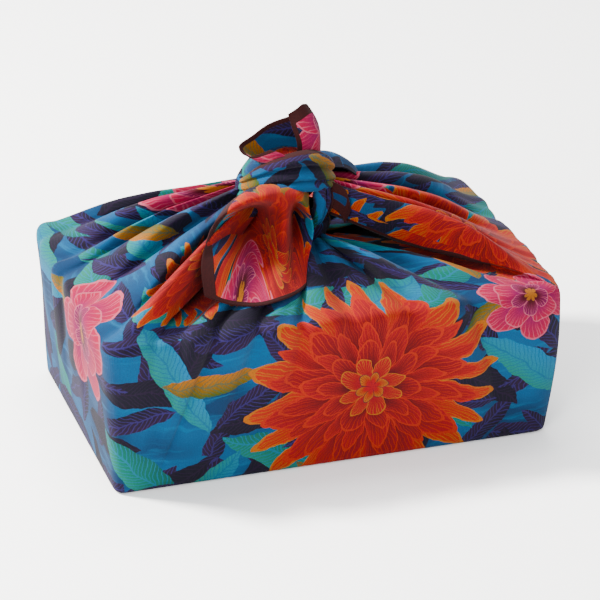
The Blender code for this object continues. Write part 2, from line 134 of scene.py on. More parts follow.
def lengths(grid, axis):
    # running distance over a grid along one axis, from zero
    step = np.linalg.norm(np.diff(grid, axis=axis), axis=2)
    start = np.zeros_like(np.take(step, [0], axis=axis))
    return np.concatenate([start, np.cumsum(step, axis=axis)], axis=axis)


def squareTo(grid, wrapU=False):
    # unit directions square to a grid of points, from its two running directions
    along = np.gradient(grid, axis=1)
    if wrapU:
        across = (np.roll(grid, -1, axis=0) - np.roll(grid, 1, axis=0)) / 2
    else:
        across = np.gradient(grid, axis=0)
    square = np.cross(across, along)
    return square / (np.linalg.norm(square, axis=2)[..., None] + 1e-9)


facing = 8.0  # mm, width of the hem's facing in the material
noHem = 60.0  # mm, a distance at which no hem shows


def hemAt(distance, width):
    # distance to the hem, scaled so that the material's facing comes out at this width
    return distance * facing / width if width else np.full(np.shape(distance), noHem)


def gridPiece(name, grid, uv, hem, material, wrapU=False, keep=None, thickness=0.0, offset=0.0,
              closed=False):
    # mesh from a grid of points in mm, a cloth map in metres (per point or per face corner) and the
    # distance to the hem in mm; closed grids have their seam and poles welded and are turned outward
    rows, cols = grid.shape[:2]
    i, j = np.meshgrid(np.arange(rows - (not wrapU)), np.arange(cols - 1), indexing="ij")
    i2 = (i + 1) % rows
    faces = np.stack([i * cols + j, i2 * cols + j, i2 * cols + j + 1, i * cols + j + 1], axis=-1)
    faces = faces.reshape(-1, 4)
    corners = uv.reshape(-1, 4, 2) if uv.ndim == 4 else uv.reshape(-1, 2)[faces]
    if keep is not None:
        faces, corners = faces[keep.reshape(-1)], corners[keep.reshape(-1)]
    mesh = bpy.data.meshes.new(name)
    mesh.from_pydata((grid.reshape(-1, 3) * mm).tolist(), [], faces.tolist())
    mesh.uv_layers.new(name="cloth").data.foreach_set("uv", corners.reshape(-1))
    hemValues = mesh.attributes.new("hem", "FLOAT", "POINT")
    hemValues.data.foreach_set("value", hem.reshape(-1).astype(np.float32))
    if closed:
        shell = bmesh.new()
        shell.from_mesh(mesh)
        bmesh.ops.remove_doubles(shell, verts=shell.verts, dist=2e-6)
        bmesh.ops.recalc_face_normals(shell, faces=shell.faces)
        shell.to_mesh(mesh)
        shell.free()
    mesh.polygons.foreach_set("use_smooth", np.ones(len(mesh.polygons), bool))
    piece = bpy.data.objects.new(name, mesh)
    scene.collection.objects.link(piece)
    mesh.materials.append(material)
    if thickness:
        wall = piece.modifiers.new("thickness", "SOLIDIFY")
        wall.thickness = thickness * mm
        wall.offset = offset
    finer = piece.modifiers.new("finer", "SUBSURF")
    finer.levels = finer.render_levels = 1
    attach(piece, "root")
    return piece


# Printed cotton

palette = {
    "ground": "#04669F", "groundDeep": "#05406F", "sky": "#2E8FC4", "navy": "#181527", "plum": "#33203F",
    "violet": "#51478C", "red": "#B20A1A", "redDeep": "#5C0510", "coral": "#C40E1C", "orange": "#DA340C",
    "ochre": "#D67C12", "pink": "#DB1B4C", "magenta": "#9A1F66", "blush": "#EE8A9C", "mint": "#3F9680",
    "teal": "#12695F", "olive": "#455F1B", "hem": "#4E2120", "hemDark": "#331414",
    "thread": "#10121C",
}


fullTurn = 6.2832
cotton = {
    # scattered leaves: cell, shift of the scatter, length and width in metres, deep, light and line colour
    "leaves": ((0.040, 3.1, 0.050, 0.014, "navy", "plum", "violet"),
               (0.050, 7.7, 0.060, 0.018, "navy", "navy", "plum"),
               (0.086, 1.3, 0.078, 0.020, "teal", "mint", "sky"),
               (0.066, 9.4, 0.064, 0.015, "navy", "plum", "violet"),
               (0.110, 5.2, 0.084, 0.020, "sky", "mint", "ground"),
               (0.100, 2.2, 0.060, 0.015, "olive", "ochre", "teal")),
    # blooms on the cloth map: u and v in metres, radius, turn
    "redBlooms": ((0.150, 0.052, 0.080, 0.3), (0.020, 0.165, 0.055, 1.4), (0.300, 0.150, 0.070, 2.2),
                  (0.405, 0.030, 0.055, 0.8), (0.535, 0.115, 0.075, 2.9), (0.655, 0.035, 0.050, 1.1),
                  (0.225, 0.235, 0.050, 0.2), (0.900, 0.100, 0.052, 0.5), (0.960, 0.330, 0.060, 1.9),
                  (1.812, 1.070, 0.062, 0.7)),
    "pinkBlooms": ((-0.045, 0.085, 0.042, 0.4), (-0.125, 0.205, 0.040, 1.2), (0.060, 0.235, 0.034, 2.1),
                   (0.245, 0.098, 0.030, 0.9), (0.350, 0.215, 0.040, 1.7), (0.470, 0.045, 0.036, 2.5),
                   (0.610, 0.165, 0.042, 0.1), (0.985, 0.180, 0.040, 1.0), (0.880, 0.260, 0.036, 2.0),
                   (1.785, 1.135, 0.036, 0.6)),
    # rings of petals from the outside in: count, size in bloom radii, turn, deep, light and line colour
    "redRings": ((19, 1.00, 0.0, "red", "orange", "ochre"), (17, 0.86, 0.5, "redDeep", "coral", "orange"),
                 (15, 0.72, 0.1, "redDeep", "red", "orange"), (13, 0.57, 0.6, "redDeep", "coral", "orange"),
                 (10, 0.42, 0.2, "redDeep", "red", "orange"), (8, 0.27, 0.7, "red", "coral", "ochre"),
                 (6, 0.13, 0.0, "coral", "ochre", "plum")),
    "pinkRings": ((6, 1.00, 0.0, "magenta", "pink", "blush"), (5, 0.72, 0.5, "magenta", "pink", "blush"),
                  (5, 0.44, 0.1, "redDeep", "magenta", "blush"), (7, 0.18, 0.0, "ochre", "ochre", "plum")),
    "redPoint": 1.6, "pinkPoint": 2.6,  # low for pointed petals, high for round ones
    "drawn": 0.007, "veinGap": 0.0032, "ribHalf": 0.0005,  # metres: wavering of drawn lines, leaf veins
    "thread": 0.0009, "relief": 0.00022, "reliefShare": 0.35,  # metres
    "strength": 1.15, "depth": 0.30,  # of the dyes
    "roughness": 0.86, "specular": 0.1, "sheen": 0.02, "sheenRoughness": 0.5,
}


def put(tree, kind, *values, out=0, **settings):
    # adds one shader node, sets it and links or fills its inputs in order, and gives an output
    new = tree.nodes.new("ShaderNode" + kind)
    for key, value in settings.items():
        setattr(new, key, value)
    for k, value in enumerate(values):
        if value is None:
            continue
        if isinstance(value, bpy.types.NodeSocket):
            tree.links.new(value, new.inputs[k])
        else:
            new.inputs[k].default_value = value
    return new.outputs[out]


def math2(tree, operation, a, b=None, c=None):
    return put(tree, "Math", a, b, c, operation=operation)


def mixColour(tree, share, low, high):
    new = tree.nodes.new("ShaderNodeMix")
    new.data_type = "RGBA"
    new.clamp_factor = True
    for key, value in ((0, share), (6, low), (7, high)):
        if isinstance(value, bpy.types.NodeSocket):
            tree.links.new(value, new.inputs[key])
        else:
            new.inputs[key].default_value = linear(value) if isinstance(value, str) else value
    return new.outputs[2]


def scatter(tree, uv, cell, shift, loose=0.75):
    # loose scatter over the cloth: place within the nearest motif in metres, turned at random
    moved = put(tree, "VectorMath", uv, (1 / cell, 1 / cell, 0), operation="MULTIPLY")
    moved = put(tree, "VectorMath", moved, (shift, shift * 0.7, 0), operation="ADD")
    cells = tree.nodes.new("ShaderNodeTexVoronoi")
    cells.voronoi_dimensions = "2D"
    cells.inputs["Scale"].default_value = 1.0
    cells.inputs["Randomness"].default_value = loose
    tree.links.new(moved, cells.inputs["Vector"])
    local = put(tree, "VectorMath", moved, cells.outputs["Position"], operation="SUBTRACT")
    local = put(tree, "VectorMath", local, (cell, cell, 0), operation="MULTIPLY")
    turnBy = math2(tree, "MULTIPLY", put(tree, "SeparateColor", cells.outputs["Color"]), fullTurn)
    return put(tree, "VectorRotate", local, None, None, turnBy, rotation_type="Z_AXIS")


def sides(tree, local):
    # x and y of a place
    parts = tree.nodes.new("ShaderNodeSeparateXYZ")
    tree.links.new(local, parts.inputs[0])
    return parts.outputs[0], parts.outputs[1]


def petalRing(tree, colour, radius, angle, ring, point):
    # one ring of petals over what is below: pointed or round tips, darker at the root, fine veins
    # and an outline
    count, size, turnBy, deep, light, line = ring
    uneven = math2(tree, "SINE", math2(tree, "MULTIPLY_ADD", angle, 3.0, turnBy * 9))
    angle = math2(tree, "MULTIPLY_ADD", uneven, 0.10, angle)
    size = size * 0.97
    sector = math2(tree, "MULTIPLY_ADD", angle, count / fullTurn, turnBy + 20)
    middle = math2(tree, "ABSOLUTE", math2(tree, "SUBTRACT", math2(tree, "FRACT", sector), 0.5))
    side = math2(tree, "MULTIPLY", middle, 2.0)
    tip = math2(tree, "MULTIPLY_ADD", math2(tree, "POWER", side, point), -0.42 * size, size)
    share = math2(tree, "DIVIDE", radius, tip)
    inside = math2(tree, "LESS_THAN", share, 1.0)
    base = mixColour(tree, put(tree, "MapRange", share, 0.42, 1.0), palette[deep], palette[light])
    vein = math2(tree, "GREATER_THAN", math2(tree, "SINE", math2(tree, "MULTIPLY", middle, 62.0)), 0.78)
    vein = math2(tree, "MULTIPLY", vein, put(tree, "MapRange", share, 0.45, 0.9))
    base = mixColour(tree, math2(tree, "MULTIPLY", vein, 0.75), base, palette[line])
    rim = math2(tree, "GREATER_THAN", share, 0.955)
    rim = math2(tree, "MAXIMUM", rim, math2(tree, "GREATER_THAN", side, 0.93))
    base = mixColour(tree, math2(tree, "MULTIPLY", rim, 0.85), base, palette[line])
    return mixColour(tree, inside, colour, base)


def leafSpray(tree, colour, x, y, leaf):
    # one long leaf along x: lens shape, light middle rib and slanted side veins
    length, width, deep, light, line = leaf
    along = math2(tree, "DIVIDE", x, length / 2)
    body = math2(tree, "SUBTRACT", 1.0, math2(tree, "POWER", math2(tree, "ABSOLUTE", along), 2.2))
    half = math2(tree, "MULTIPLY", math2(tree, "MAXIMUM", body, 0.0), width / 2)
    side = math2(tree, "ABSOLUTE", y)
    inside = math2(tree, "LESS_THAN", side, half)
    shade = put(tree, "MapRange", y, -width / 2, width / 2)
    base = mixColour(tree, shade, palette[deep], palette[light])
    slant = math2(tree, "MULTIPLY_ADD", side, -1.1, x)
    veins = math2(tree, "SINE", math2(tree, "MULTIPLY", slant, fullTurn / cotton["veinGap"]))
    veins = math2(tree, "GREATER_THAN", veins, 0.74)
    rib = math2(tree, "LESS_THAN", side, cotton["ribHalf"])
    lines = math2(tree, "MULTIPLY", math2(tree, "MAXIMUM", veins, rib), 0.6)
    return mixColour(tree, inside, colour, mixColour(tree, lines, base, palette[line]))


def nearestBloom(tree, uv, blooms):
    # place in the nearest listed bloom, in bloom radii, and how near, so each bloom has its own spot
    best = None
    for u, v, size, turned in blooms:
        local = put(tree, "VectorMath", put(tree, "VectorMath", uv, (u, v, 0), operation="SUBTRACT"),
                    (1 / size, 1 / size, 0), operation="MULTIPLY")
        local = put(tree, "VectorRotate", local, None, None, turned, rotation_type="Z_AXIS")
        far = put(tree, "VectorMath", local, operation="LENGTH", out=1)
        if best is None:
            best, bestFar = local, far
            continue
        nearer = math2(tree, "LESS_THAN", far, bestFar)
        new = tree.nodes.new("ShaderNodeMix")
        new.data_type = "VECTOR"
        tree.links.new(nearer, new.inputs[0])
        tree.links.new(best, new.inputs[4])
        tree.links.new(local, new.inputs[5])
        best, bestFar = new.outputs[1], math2(tree, "MINIMUM", far, bestFar)
    return best


def cottonMaterial(name):
    # Printed cotton, plain weave, as roller or ink-jet printed on a white ground: matt with a soft nap that
    # lightens at grazing angles, flat areas of dye with drawn lines, and a faint speckle where the threads
    # take up the dye. The threads are 0.25 mm apart, so the weave is drawn at 0.9 mm to show at all.
    material = bpy.data.materials.new(name)
    material.use_nodes = True
    tree = material.node_tree
    shader = tree.nodes["Principled BSDF"]
    clothMap = put(tree, "UVMap", uv_map="cloth")
    wobble = put(tree, "TexNoise", clothMap, None, 55.0, 3.0, out=1, noise_dimensions="2D")
    wobble = put(tree, "VectorMath", wobble, (0.5, 0.5, 0.5), operation="SUBTRACT")
    wobble = put(tree, "VectorMath", wobble, (cotton["drawn"], cotton["drawn"], 0), operation="MULTIPLY")
    uv = put(tree, "VectorMath", clothMap, wobble, operation="ADD")

    # brushed blue ground, then the leaves and the blooms over it
    patch = put(tree, "TexNoise", uv, None, 14.0, 2.0, noise_dimensions="2D")
    patch = put(tree, "MapRange", patch, 0.42, 0.60)
    colour = mixColour(tree, patch, palette["ground"], palette["groundDeep"])
    streak = put(tree, "VectorMath", uv, (30, 260, 0), operation="MULTIPLY")
    streak = put(tree, "TexNoise", streak, None, 1.0, 3.0, noise_dimensions="2D")
    colour = mixColour(tree, put(tree, "MapRange", streak, 0.55, 0.75, 0.0, 0.45), colour, palette["sky"])
    for cell, shift, *leaf in cotton["leaves"]:
        x, y = sides(tree, scatter(tree, uv, cell, shift))
        colour = leafSpray(tree, colour, x, y, leaf)
    for kind in ("red", "pink"):
        local = nearestBloom(tree, uv, cotton[kind + "Blooms"])
        x, y = sides(tree, local)
        radius = put(tree, "VectorMath", local, operation="LENGTH", out=1)
        angle = math2(tree, "ARCTAN2", y, x)
        for ring in cotton[kind + "Rings"]:
            colour = petalRing(tree, colour, radius, angle, ring, cotton[kind + "Point"])

    # the hem: a plain brown facing about 8 mm wide with a row of stitches along its inner edge
    hem = put(tree, "Attribute", attribute_name="hem", out=2)
    onHem = math2(tree, "LESS_THAN", hem, facing)
    grain = put(tree, "TexNoise", clothMap, None, 900.0, 2.0, noise_dimensions="2D")
    brown = mixColour(tree, grain, palette["hemDark"], palette["hem"])
    colour = mixColour(tree, onHem, colour, brown)
    speckle = put(tree, "TexNoise", clothMap, None, 1400.0, 2.0, noise_dimensions="2D")
    speckle = put(tree, "MapRange", speckle, 0.35, 0.7, 0.0, 0.22)
    colour = mixColour(tree, speckle, colour, palette["thread"])
    # the dyes are deep: one setting darkens and strengthens them all
    colour = put(tree, "HueSaturation", 0.5, cotton["strength"], cotton["depth"], 1.0, colour)
    tree.links.new(colour, shader.inputs["Base Color"])

    # warp and weft, the facing's step and the stitch line pulled into it
    threads = []
    for direction in ("X", "Y"):
        weave = tree.nodes.new("ShaderNodeTexWave")
        weave.bands_direction = direction
        weave.inputs["Scale"].default_value = 0.314 / cotton["thread"]
        weave.inputs["Distortion"].default_value = 0.6
        tree.links.new(clothMap, weave.inputs["Vector"])
        threads.append(weave.outputs[1])
    relief = math2(tree, "MULTIPLY", math2(tree, "ADD", *threads), 0.5)
    step = put(tree, "MapRange", hem, facing - 0.4, facing + 0.4, 3.0, 0.0)
    seam = math2(tree, "ABSOLUTE", math2(tree, "SUBTRACT", hem, facing - 1.4))
    seam = math2(tree, "MINIMUM", math2(tree, "MULTIPLY", seam, 3.0), 1.0)
    relief = math2(tree, "ADD", relief, math2(tree, "ADD", step, seam))
    bump = tree.nodes.new("ShaderNodeBump")
    bump.inputs["Strength"].default_value = cotton["reliefShare"]
    bump.inputs["Distance"].default_value = cotton["relief"]
    tree.links.new(relief, bump.inputs["Height"])
    tree.links.new(bump.outputs[0], shader.inputs["Normal"])
    shader.inputs["Roughness"].default_value = cotton["roughness"]
    shader.inputs["Specular IOR Level"].default_value = cotton["specular"]
    shader.inputs["Sheen Weight"].default_value = cotton["sheen"]
    shader.inputs["Sheen Roughness"].default_value = cotton["sheenRoughness"]
    return material


printedCotton = cottonMaterial("printed cotton, plain weave")
print("cotton ready")


# The wrapped cloth

wrap = {
    "length": 263.0, "depth": 159.0, "height": 96.0, "flare": 5.0,  # mm, outside the cloth
    "corner": 6.0, "foot": 3.0, "edge": 6.0, "thickness": 1.2,
    "perFold": 8, "topLevels": 26, "fallFrom": 0.55, "riseBy": 0.42,  # shares of the way to the knot
    "tuckDrop": 10.0, "tuckUnder": (17.0, 26.0), "tuckBow": 12.0, "tuckClear": 3.6,
    "wrinkle": 1.2, "puff": 1.3, "rollHem": 3.0, "hemShows": (0.26, 0.56),
}
# the gathered strips: where each starts in sides round the box, and its folds from left to right, with the
# width at the box edge and at the knot, height, bulge at the rim, lean, reach down the wall and crown
foldFields = ("edge", "knot", "height", "rim", "lean", "reach", "crown")
strips = {
    "front": {
        "start": 0.142, "knot": (5.0, -7.0, 17.0), "across": (1, 0, 0), "arch": 4.0, "sag": (1.0, 1.0),
        "closed": (0.0, 0.0),
        "folds": ((20, 4, 9.0, 7.5, 0.6, 84, 0.7), (24, 4, 7.0, 6.0, 0.5, 110, 0.6),
                  (28, 3, 6.5, 4.8, 0.5, 82, 0.7), (26, 3, 7.0, 5.0, -0.4, 76, 0.7),
                  (37, 3, 6.0, 4.0, -0.4, 66, 0.7), (36, 5, 14.0, 10.0, -0.9, 96, 0.65),
                  (40, 5, 6.5, 3.2, -0.2, 56, 0.7)),
    },
    "right": {
        "start": 1.022, "knot": (8.0, 6.0, 48.0), "across": (0, 1, 0), "arch": 5.0, "sag": (1.0, 1.0),
        "closed": (0.27, 0.09),
        "folds": ((15, 8, 12.0, 1.2, -0.2, 12, 0.6), (20, 4, 7.0, 0.8, -0.3, 24, 0.7),
                  (32, 3, 8.0, 0.9, -0.6, 30, 0.65), (30, 3, 8.0, 0.9, -0.6, 26, 0.65),
                  (36, 4, 9.5, 1.0, -0.6, 30, 0.65), (48, 4, 7.5, 0.8, -0.4, 20, 0.7)),
    },
    "back": {
        "start": 2.155, "knot": (4.0, 10.0, 17.0), "across": (-1, 0, 0), "arch": 4.0, "sag": (2.0, 2.0),
        "closed": (0.0, 0.0),
        "folds": ((30, 4, 3.6, 1.2, 0.2, 30, 0.7), (28, 4, 4.2, 1.4, 0.2, 24, 0.7),
                  (34, 4, 3.4, 1.0, 0.3, 26, 0.7), (30, 4, 4.4, 1.6, 0.2, 40, 0.7),
                  (40, 4, 3.6, 1.0, 0.2, 22, 0.7), (36, 4, 3.0, 1.2, 0.3, 30, 0.7)),
    },
    "left": {
        "start": 2.955, "knot": (-21.0, 6.0, 49.0), "across": (-0.25, -0.95, 0), "arch": 3.0,
        "sag": (1.0, 1.0), "closed": (0.09, 0.18),
        "folds": ((24, 3, 6.0, 2.4, 0.6, 34, 0.7), (34, 4, 11.0, 3.8, 0.9, 56, 0.65),
                  (18, 3, 9.0, 4.4, 0.8, 74, 0.8), (38, 4, 12.5, 4.4, 0.9, 68, 0.65),
                  (48, 5, 13.0, 3.8, 0.9, 50, 0.6), (32, 5, 12.0, 3.6, 0.5, 40, 0.6)),
    },
}
# sideways drift of a fold line per mm down the wall, and how far the wall swells out in mm
drift = np.array(((0.0, 0.0), (0.11, -0.18), (0.20, -0.34), (0.23, -0.40), (0.40, -0.18), (0.60, 0.20),
                  (0.70, 0.66), (0.84, 0.30), (1.0, 0.0), (1.3, 0.06), (1.7, -0.06), (2.0, 0.0),
                  (2.3, 0.12), (2.7, -0.12), (3.0, 0.0), (3.3, -0.10), (3.6, 0.08), (4.0, 0.0)))
swell = np.array(((0.0, 0.3), (0.5, 1.0), (0.93, 2.6), (1.0, 3.0), (1.1, 2.2), (2.0, 0.4), (3.0, 0.3),
                  (3.5, 0.9), (4.0, 0.3)))
sideLengths = np.array((wrap["length"], wrap["depth"], wrap["length"], wrap["depth"]))
sideEnds = np.concatenate([[0], np.cumsum(np.tile(sideLengths, 2))])
sideNormal = np.array(((0, -1), (1, 0), (0, 1), (-1, 0)), float)
sideAlong = np.array(((1, 0), (0, 1), (-1, 0), (0, -1)), float)


def placeAt(distance):
    # place in sides from a distance in mm along the outline
    return np.interp(distance, sideEnds, np.arange(9))


def distanceAt(place):
    return np.interp(place, np.arange(9), sideEnds)


def outlineAt(place, outset):
    # rounded rectangle grown by an outset: the point at each place
    side = np.floor(place).astype(int) % 4
    length = sideLengths[side]
    run = (place - np.floor(place)) * length
    radius = wrap["corner"]
    low, high = run < radius, length - run < radius
    bend = np.where(high, 1 - (length - run) / radius, 0.0)
    bend = np.where(low, -(1 - run / radius), bend) * math.pi / 4
    ahead = np.where(low, radius, np.where(high, length - radius, run))
    normal, along = sideNormal[side], sideAlong[side]
    half = np.array((wrap["length"], wrap["depth"])) / 2
    centre = normal * half + along * (ahead - length / 2)[..., None] - normal * radius
    outward = normal * np.cos(bend)[..., None] + along * np.sin(bend)[..., None]
    return centre + outward * (radius + outset)[..., None]


perStrip = 20  # patch numbers kept for each strip


def stripColumns(name, number):
    # one value per column of a gathered strip, from its first fold line to its last
    strip = strips[name]
    table = dict(zip(foldFields, np.array(strip["folds"], float).T))
    count, folds = wrap["perFold"], len(table["edge"])
    fold = np.append(np.repeat(np.arange(folds), count), folds - 1)
    step = np.append(np.tile(np.arange(count) / count, folds), 1.0)
    edgeBefore = np.concatenate([[0], np.cumsum(table["edge"])])
    knotBefore = np.concatenate([[0], np.cumsum(table["knot"])])
    run = edgeBefore[fold] + table["edge"][fold] * step
    knotRun = knotBefore[fold] + table["knot"][fold] * step
    share, side = run / edgeBefore[-1], 2 * knotRun / knotBefore[-1] - 1
    knot = np.array(strip["knot"]) + np.outer(knotRun - knotBefore[-1] / 2, strip["across"])
    knot[:, 2] += wrap["height"] - strip["arch"] * side ** 2
    early = share < 0.5
    none = np.zeros(len(step))
    return {
        "place": placeAt(distanceAt(strip["start"]) + run), "knot": knot,
        "wave": np.sin(math.pi * step) ** table["crown"][fold],
        **{field: table[field][fold] for field in ("height", "rim", "lean", "reach")},
        "narrow": table["knot"][fold],
        "sag": (strip["sag"][0] * np.maximum(0, 1 - share * 6)
                + strip["sag"][1] * np.maximum(0, 1 - (1 - share) * 6)),
        "pull": np.where(early, -0.9, 0.9), "closed": np.where(early, *strip["closed"]),
        "kind": none.astype(int), "room": none, "bow": none, "step": step,
        "patch": number * perStrip + fold,
    }


def oneColumn(columns, at):
    return {key: value[[at]] for key, value in columns.items()}


def tuckColumns(upper, lower, upperFirst, deepest):
    # cloth turned under a draped roll: a flap below the roll (1), the layer under it (2) and its floor (3)
    span = (lower["place"] - upper["place"] + 2) % 4 - 2
    hollow = 1.0 if upperFirst else -1.0
    line = upper["knot"][:, :2] - outlineAt(upper["place"], np.zeros(1))
    line = line / np.linalg.norm(line)
    side = np.array([[line[0, 1], -line[0, 0], 0.0]]) * hollow
    none = np.zeros(1)
    flap = dict(upper, kind=np.array([1]), wave=none, place=upper["place"] + span * 0.12,
                knot=upper["knot"] + side * 1.5)
    gap = float(((lower["knot"] - upper["knot"]) * side).sum())
    covered = min(max(gap + deepest, 5.0), deepest)
    under = dict(lower, kind=np.array([2]), wave=none, place=upper["place"] + span * 0.24, sag=none,
                 knot=lower["knot"] - side * covered - np.array((0, 0, 2.0)),
                 bow=np.array([-hollow * wrap["tuckBow"]]))
    flap["room"] = upper["knot"][:, 2] - under["knot"][:, 2]
    floor = dict(lower, kind=np.array([3]), wave=none, place=upper["place"] + span * 0.7, sag=none,
                 knot=(under["knot"] + lower["knot"]) / 2)
    return [flap, under, floor] if upperFirst else [floor, under, flap]


def wrapColumns():
    # the right and left rolls hang over the front and back strips, with a tuck under each side
    front, rightSide, behind, leftSide = (stripColumns(name, k) for k, name in enumerate(strips))
    deepRight, deepLeft = wrap["tuckUnder"]
    parts = [front, *tuckColumns(oneColumn(rightSide, 0), oneColumn(front, -1), False, deepRight),
             rightSide, *tuckColumns(oneColumn(rightSide, -1), oneColumn(behind, 0), True, deepRight),
             behind, *tuckColumns(oneColumn(leftSide, 0), oneColumn(behind, -1), False, deepLeft),
             leftSide, *tuckColumns(oneColumn(leftSide, -1), oneColumn(front, 0), True, deepLeft)]
    return {key: np.concatenate([part[key] for part in parts]) for key in front}


wallSteps = 14


def wrapGrid(columns, topSteps):
    # columns by levels: underside to wall to box edge, then straight lines to the knot, with each fold's
    # height raised square to its line
    height, edge, foot = wrap["height"], wrap["edge"], wrap["foot"]
    bend = np.radians(np.linspace(90, 0, 4))
    lift = np.radians(np.linspace(0, 78, 5))
    wallZ = np.concatenate([foot * (1 - np.sin(bend)),
                            np.linspace(foot, height - edge, wallSteps + 2)[1:-1],
                            height - edge + edge * np.sin(lift)])
    inset = np.concatenate([foot * (1 - np.cos(bend)), np.zeros(wallSteps), edge * (1 - np.cos(lift))])
    down = height - wallZ
    place = columns["place"][:, None]
    lean = np.interp(place % 4, drift[:, 0], drift[:, 1])
    run = np.where(lean < 0, down, down * (1 - 0.5 * down / height))
    moved = place + lean * run / sideLengths[np.floor(place).astype(int) % 4]
    fade = np.maximum(0, 1 - down / np.maximum(columns["reach"], 4)[:, None])
    bulge = (columns["rim"] * columns["wave"])[:, None] * fade * (down < height - foot)
    outset = wrap["flare"] * (wallZ / height) ** 0.9 - inset + bulge
    swollen = np.interp(moved % 4, swell[:, 0], swell[:, 1])
    outset = outset + swollen * np.sin(math.pi * (wallZ / height) ** 1.2)
    spot = outlineAt(moved, outset)
    raised = bulge * 0.7 * ((inset > 0) & (wallZ > height / 2))
    wall = np.concatenate([spot, (wallZ + raised)[..., None]], axis=2)

    spot = outlineAt(columns["place"], np.full(len(columns["place"]), wrap["flare"] - edge))
    start = np.column_stack([spot, np.full(len(spot), height)])
    line = columns["knot"] - start
    reach = np.linalg.norm(line[:, :2], axis=1)
    level = np.column_stack([line[:, :2], np.zeros(len(line))])
    upward = np.array((0, 0, 1.0)) * reach[:, None] - level / reach[:, None] * line[:, 2:]
    upward /= np.linalg.norm(upward, axis=1)[:, None]
    across = np.column_stack([level[:, 1], -level[:, 0], np.zeros(len(level))]) / reach[:, None]
    t = topSteps[None, :]
    tall, rim, wave = (columns[key][:, None] for key in ("height", "rim", "wave"))
    tall = tall * wrap["puff"]
    # a fold rises to its height, then falls and narrows towards the knot
    late = (t - wrap["fallFrom"]) / (1 - wrap["fallFrom"])
    crest = np.where(t < wrap["fallFrom"], tall, tall * (1 - late))
    crest = crest + columns["narrow"][:, None] * 0.35 * smooth(late)
    rises = wave * np.where(t > wrap["fallFrom"], crest, rim + (crest - rim) * smooth(t / wrap["riseBy"]))
    droop = columns["sag"][:, None] * np.sin(math.pi * t) ** 2 * (1 - 0.4 * wave) * smooth(t / 0.35)
    top = start[:, None] + line[:, None] * t[..., None] + upward[:, None] * rises[..., None]
    bow = columns["bow"][:, None] * np.sin(math.pi * t) ** 0.8
    sideways = columns["lean"][:, None] * rises + columns["pull"][:, None] * droop + bow
    top = top + across[:, None] * sideways[..., None]
    turned = smooth((t - 0.12) / 0.5)
    room = columns["room"][:, None] * t - droop - wrap["tuckClear"]
    fall = np.minimum(wrap["tuckDrop"] * turned, np.maximum(room * 0.6, 0))
    top[..., 2] -= droop + np.where(columns["kind"][:, None] == 1, fall, 0)
    return wall, top, distanceAt(moved)


columns = wrapColumns()
topSteps = np.linspace(0, 1, wrap["topLevels"] + 1)[1:]
wall, top, wallRun = wrapGrid(columns, topSteps)
shrink = np.linspace(0.03, 1, 6)[:-1]
bottom = wall[:, :1] * np.append(np.repeat(shrink[:, None], 2, axis=1), np.zeros((5, 1)), axis=1)[None]
grid = np.concatenate([bottom, wall, top], axis=1)
count, levels = grid.shape[:2]
bottomEnd = bottom.shape[1]
wallEnd = bottomEnd + wall.shape[1]

# soft unevenness square to the cloth, longer along the pull than across it
fade = np.concatenate([np.zeros(bottomEnd + 2), smooth(np.linspace(0.1, 1.2, wall.shape[1] - 2)),
                       1 - 0.6 * smooth(topSteps * 1.6 - 0.6)])
ringRun = np.arange(count)[:, None] / count * 2 * math.pi
small = waves(np.sin(ringRun) * 9 + np.cos(ringRun) * 6, np.linspace(0, 5, levels)[None], 5, 12)
fine = waves(np.arange(count)[:, None] * 0.9, np.linspace(0, 2, levels)[None], 11, 9)
grid = grid + squareTo(grid, True) * (fade * (small * 0.6 + fine * 0.3))[..., None] * wrap["wrinkle"]

kind = columns["kind"]
nextKind = np.roll(kind, -1)
slit = ((kind == 1) & (nextKind == 2)) | ((kind == 2) & (nextKind == 1))
limit = np.where(kind == 1, columns["closed"], np.roll(columns["closed"], -1))
stepOf = np.concatenate([np.zeros(wallEnd - 1), topSteps])
keep = ~(slit[:, None] & (np.arange(levels - 1)[None] >= wallEnd - 1) & (stepOf[None] > limit[:, None]))

# cloth map: distance round the box on the walls; over the top each fold keeps its own true width, so the
# print runs into the creases; a flat map on the underside
leftFrom = np.where(columns["patch"] >= 3 * perStrip)[0][0] - 1
wallRun = wallRun - np.where(np.arange(count) >= leftFrom, sideEnds[4], 0)[:, None]
edgeRun = wallRun[:, -1]
along = lengths(grid, 1)
along = along - along[:, bottomEnd:bottomEnd + 1]
looped = np.concatenate([grid, grid[:1]], axis=0)
arc = lengths(looped, 0)
edgeLoop = np.append(edgeRun, edgeRun[0])
patch = columns["patch"]
middle = np.array([np.where((patch == p) & (columns["step"] >= 0.5))[0][0] for p in patch])
middle = np.where(kind > 0, np.arange(count), middle)
topBlend = smooth(np.concatenate([np.zeros(wallEnd), topSteps]) / 0.2)
wallLoop = np.concatenate([wallRun, wallRun[:1]], axis=0)
flatRun = np.concatenate([np.repeat(wallLoop[:, :1], bottomEnd, axis=1), wallLoop,
                          np.repeat(wallLoop[:, -1:], len(topSteps), axis=1)], axis=1)
alongLoop = np.concatenate([along, along[:1]], axis=0)
tuckFace = (kind > 0) | (nextKind > 0)


def cornerU(at, level):
    # u of a face corner, in the patch of the face's first column
    own = edgeRun[middle][:, None] + arc[at][:, level] - arc[middle][:, level]
    quick = np.minimum(topBlend * 5, 1)
    blend = np.where(tuckFace[:, None], quick[level][None], topBlend[level][None])
    return own * blend + flatRun[at][:, level] * (1 - blend)


